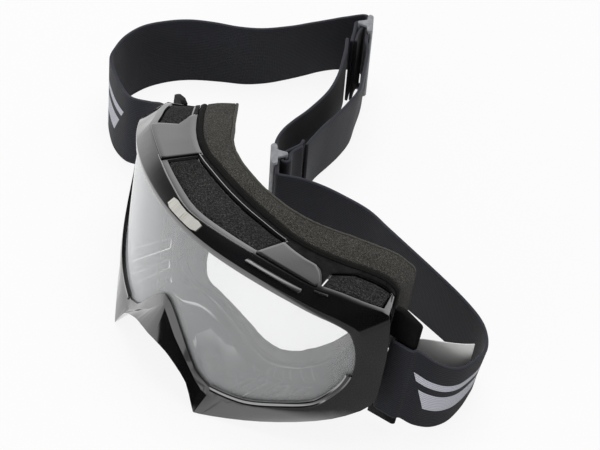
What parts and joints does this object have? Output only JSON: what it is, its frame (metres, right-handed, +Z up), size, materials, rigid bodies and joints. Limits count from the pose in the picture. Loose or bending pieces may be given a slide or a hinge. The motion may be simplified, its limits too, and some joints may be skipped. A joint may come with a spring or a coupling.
{
  "type": "motocross goggles",
  "caption": "Motocross goggles with a moulded frame, a bent clear lens, layered face foam, vent foams, swept outriggers and an elastic strap with slide adjusters, lying with the strap loosely looped.",
  "frame": {"origin": "Centre of the resting part's bounding box in plan, on the table plane that the strap's lower edge stands on.", "axes": "+X is the wearer's left along the frame's width, -Y is the front of the lens, +Y is the face side, +Z is up."},
  "size_m": [0.2942, 0.2282, 0.0936],
  "materials": {
    "frame_plastic": "gloss black injection moulding",
    "lens_clear": "clear bent polycarbonate sheet",
    "badge_plate": "satin silver plate",
    "foam_dark": "open-cell foam, dark",
    "foam_olive": "face foam with a fine speckle",
    "webbing": "ribbed elastic webbing, blue black",
    "adjuster_grey": "satin grey moulding",
    "label_white": "thin white tape"
  },
  "bodies": {
    "goggles": {"frame": "frame_plastic", "lens": "lens_clear", "centre_badge": "badge_plate", "outrigger_left": "frame_plastic", "outrigger_right": "frame_plastic", "face_foam_base": "foam_dark", "face_foam": "foam_olive", "face_fleece": "foam_olive", "vent_foam_centre": "foam_dark", "vent_foam_left": "foam_dark", "vent_foam_right": "foam_dark", "vent_foam_lower_left": "foam_dark", "vent_foam_lower_right": "foam_dark", "strap_left": "webbing", "strap_right": "webbing", "care_label": "label_white"},
    "left_adjuster": {"adjuster_left": "adjuster_grey", "strap_right_end": "webbing"},
    "right_adjuster": {"adjuster_right": "adjuster_grey", "strap_left_end": "webbing"}
  },
  "joints": [
    {"name": "left_adjuster_slide", "type": "slide", "parent": "goggles", "child": "left_adjuster", "axis": [0.8141, -0.5807, 0], "range_m": [-0.004, 0.004]},
    {"name": "right_adjuster_slide", "type": "slide", "parent": "goggles", "child": "right_adjuster", "axis": [-0.7524, 0.6587, 0], "range_m": [-0.004, 0.002]}
  ]
}
